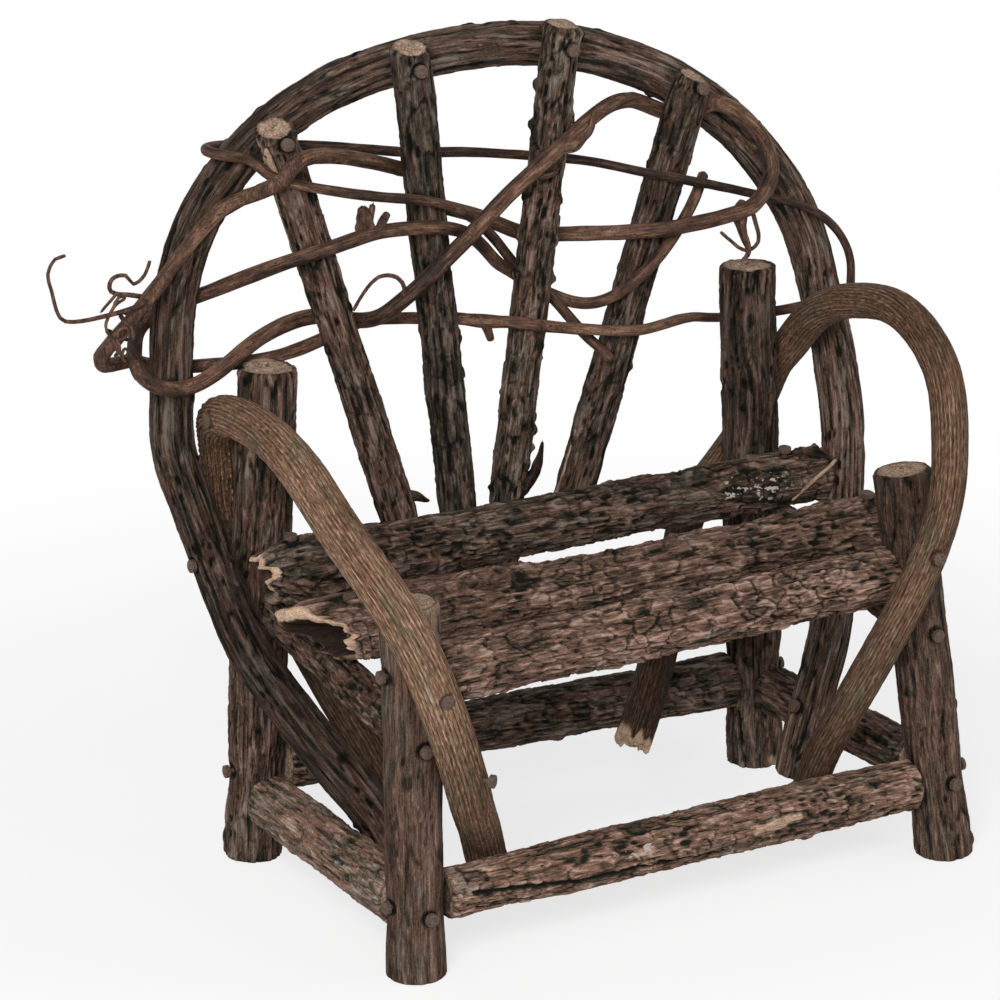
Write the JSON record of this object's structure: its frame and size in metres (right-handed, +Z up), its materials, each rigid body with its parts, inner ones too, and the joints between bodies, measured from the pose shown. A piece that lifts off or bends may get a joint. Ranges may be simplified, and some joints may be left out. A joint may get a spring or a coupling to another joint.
{
  "type": "rustic vine bench",
  "caption": "Small rustic bench of bark-covered sticks with a bent-branch arched back, fanned spindles, hooped arms and wild vines woven through the back.",
  "frame": {"origin": "on the floor under the middle of the bench's bounding box", "axes": "+X to the sitter's left as seen from the front (picture right), +Y to the back, +Z up"},
  "size_m": [0.307, 0.165, 0.2742],
  "materials": {
    "bark": "rough, fissured dark brown bark, pale wood on sawn ends",
    "arm_bark": "thin, smooth olive-brown bark with fine lengthwise lines",
    "vine": "smooth reddish brown dried vine",
    "nail": "dark, dull wire nail"
  },
  "bodies": {
    "root": {"arm_left": "arm_bark", "arm_right": "arm_bark", "back_arch": "bark", "back_spindle_1": "bark", "back_spindle_2": "bark", "back_spindle_3": "bark", "back_spindle_4": "bark", "nail_arch_foot_left": "nail", "nail_arch_foot_right": "nail", "nail_arch_post_left": "nail", "nail_arm_left_back": "nail", "nail_arm_left_foot": "nail", "nail_arm_left_front": "nail", "nail_arm_left_inner": "nail", "nail_arm_right_back": "nail", "nail_arm_right_foot": "nail", "nail_arm_right_front": "nail", "nail_back_spindle_1_foot": "nail", "nail_back_spindle_1_top": "nail", "nail_back_spindle_2_foot": "nail", "nail_back_spindle_2_top": "nail", "nail_back_spindle_3_foot": "nail", "nail_back_spindle_3_top": "nail", "nail_back_spindle_4_foot": "nail", "nail_back_spindle_4_top": "nail", "nail_seat_bearer_left_back_left": "nail", "nail_seat_bearer_left_front_left": "nail", "nail_seat_bearer_right_back_right": "nail", "nail_seat_bearer_right_front_right": "nail", "nail_seat_log_back_left": "nail", "nail_seat_log_back_right": "nail", "nail_seat_log_front_front_left": "nail", "nail_seat_log_front_front_right": "nail", "nail_seat_log_middle_left": "nail", "nail_seat_log_middle_right": "nail", "nail_stretcher_back_back_left": "nail", "nail_stretcher_back_back_right": "nail", "nail_stretcher_front_front_left": "nail", "nail_stretcher_front_front_right": "nail", "nail_stretcher_left_back_left": "nail", "nail_stretcher_left_front_left": "nail", "nail_stretcher_right_back_right": "nail", "nail_stretcher_right_front_right": "nail", "post_back_left": "bark", "post_back_right": "bark", "post_front_left": "bark", "post_front_right": "bark", "seat_bearer_left": "bark", "seat_bearer_right": "bark", "seat_log_back": "bark", "seat_log_front": "bark", "seat_log_middle": "bark", "stretcher_back": "bark", "stretcher_front": "bark", "stretcher_left": "bark", "stretcher_right": "bark", "vine_sweep": "vine", "vine_top": "vine", "vine_wrap": "vine"}
  },
  "joints": []
}
